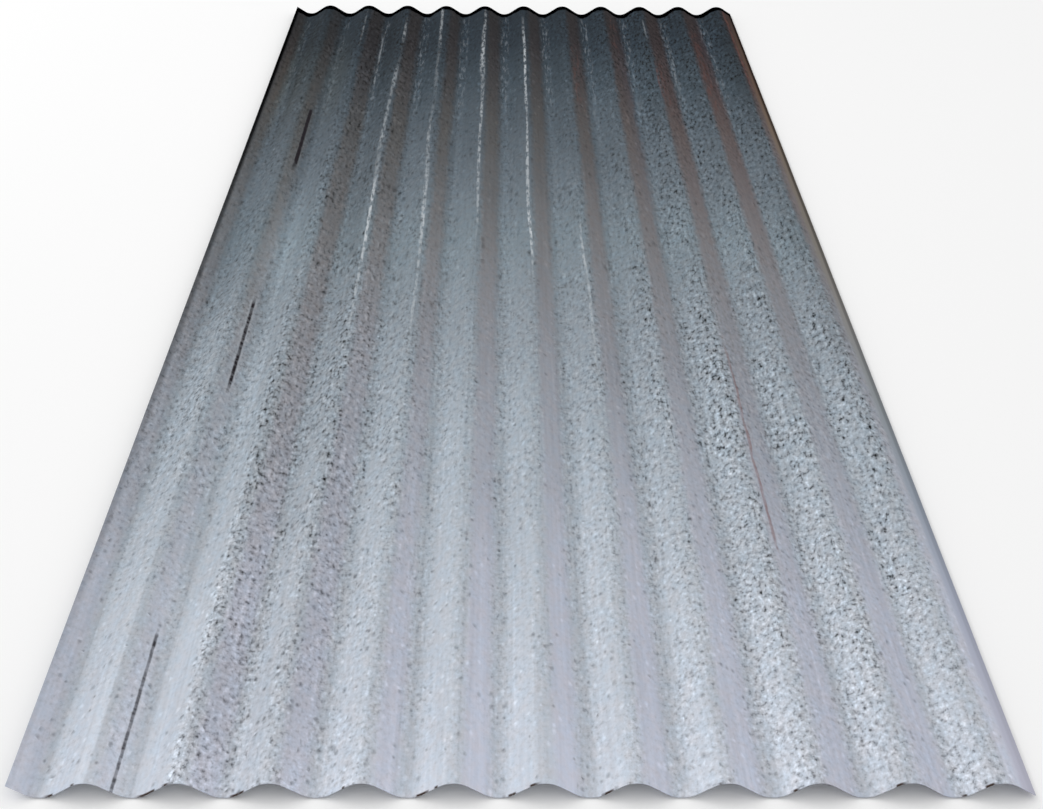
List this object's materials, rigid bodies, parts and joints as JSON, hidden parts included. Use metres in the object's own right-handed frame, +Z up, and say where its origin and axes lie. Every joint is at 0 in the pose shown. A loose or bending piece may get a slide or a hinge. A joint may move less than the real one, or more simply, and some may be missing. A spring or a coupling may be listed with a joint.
{
  "type": "corrugated metal sheet",
  "caption": "Weathered galvanised roofing sheet with round roll-formed waves along its length and plain sheared edges, lying flat.",
  "frame": {"origin": "under the middle of the sheet, on the plane that the undersides of its valleys lie on", "axes": "+X across the waves towards the edge that ends on its way down, +Y along the waves, +Z up out of the crests"},
  "size_m": [0.8554, 2.134, 0.0179],
  "materials": {
    "galvanised_steel": "weathered hot-dip galvanised zinc, dull grey with a dark patina, pits and brown stains"
  },
  "bodies": {
    "root": {"sheet": "galvanised_steel"}
  },
  "joints": []
}
